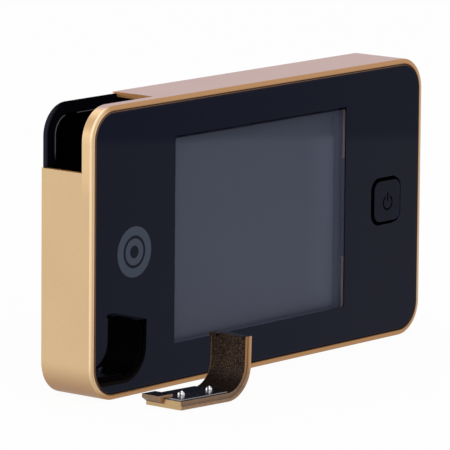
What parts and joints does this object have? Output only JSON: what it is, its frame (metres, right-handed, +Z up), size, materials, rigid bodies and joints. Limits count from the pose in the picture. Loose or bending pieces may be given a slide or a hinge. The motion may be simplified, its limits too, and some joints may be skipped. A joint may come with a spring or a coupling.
{
  "type": "door viewer monitor",
  "caption": "Indoor monitor of a digital door viewer, with its battery corner cap taken off.",
  "frame": {"origin": "middle of the monitor's underside, on the surface that it stands on", "axes": "+X to the right as seen from the front, +Y to the back, towards the door, +Z up"},
  "size_m": [0.124, 0.0369, 0.069],
  "materials": {
    "casing_gold": "fine sparkling satin, champagne gold",
    "front_glass": "clear, high gloss",
    "black_print": "even black print behind the glass",
    "tape_black": "matte",
    "screen_glass": "dark grey, anti-glare",
    "tray_white": "satin",
    "foam_black": "matte foam",
    "tape_grey": "matte",
    "chassis_black": "fine grain",
    "board_green": "satin solder mask",
    "chip_black": "matte",
    "coil_grey": "sintered",
    "socket_ivory": "satin",
    "ribbon_amber": "satin film",
    "switch_steel": "satin",
    "plunger_black": "satin",
    "key_black": "gloss",
    "cover_black": "gloss chamber, finely grained back",
    "contact_nickel": "bright nickel",
    "screw_black": "black oxide",
    "screw_steel": "zinc",
    "bridge_steel": "polished",
    "rivet_chrome": "polished"
  },
  "bodies": {
    "monitor": {"front_frame": "casing_gold", "front_glass": "front_glass", "window_mask": "black_print", "glass_tape": "tape_black", "lcd_panel": "screen_glass", "backlight_tray": "tray_white", "lcd_gasket": "foam_black", "gasket_tabs": "tape_grey", "inner_chassis": "chassis_black", "main_board": "board_green", "processor_chip": "chip_black", "board_chips": "chip_black", "power_coils": "coil_grey", "display_socket": "socket_ivory", "lcd_ribbon": "ribbon_amber", "camera_socket": "socket_ivory", "tact_switch": "switch_steel", "back_cover": "cover_black", "contact_spring": "contact_nickel", "contact_leaf": "contact_nickel", "housing_screws": "screw_black", "chassis_screws": "screw_steel", "board_screws": "screw_steel"},
    "power_key": {"power_button": "key_black", "switch_plunger": "plunger_black"},
    "corner_cover": {"corner_cap": "casing_gold", "bridge_plate": "bridge_steel", "contact_rivets": "rivet_chrome"}
  },
  "joints": [
    {"name": "key_press", "type": "slide", "parent": "monitor", "child": "power_key", "axis": [0, 1, 0], "range_m": [0, 0.0003], "stiffness_N_per_m": 800},
    {"name": "cover_lift", "type": "slide", "parent": "monitor", "child": "corner_cover", "axis": [0, 0, 1], "range_m": [0, 0.075]}
  ]
}
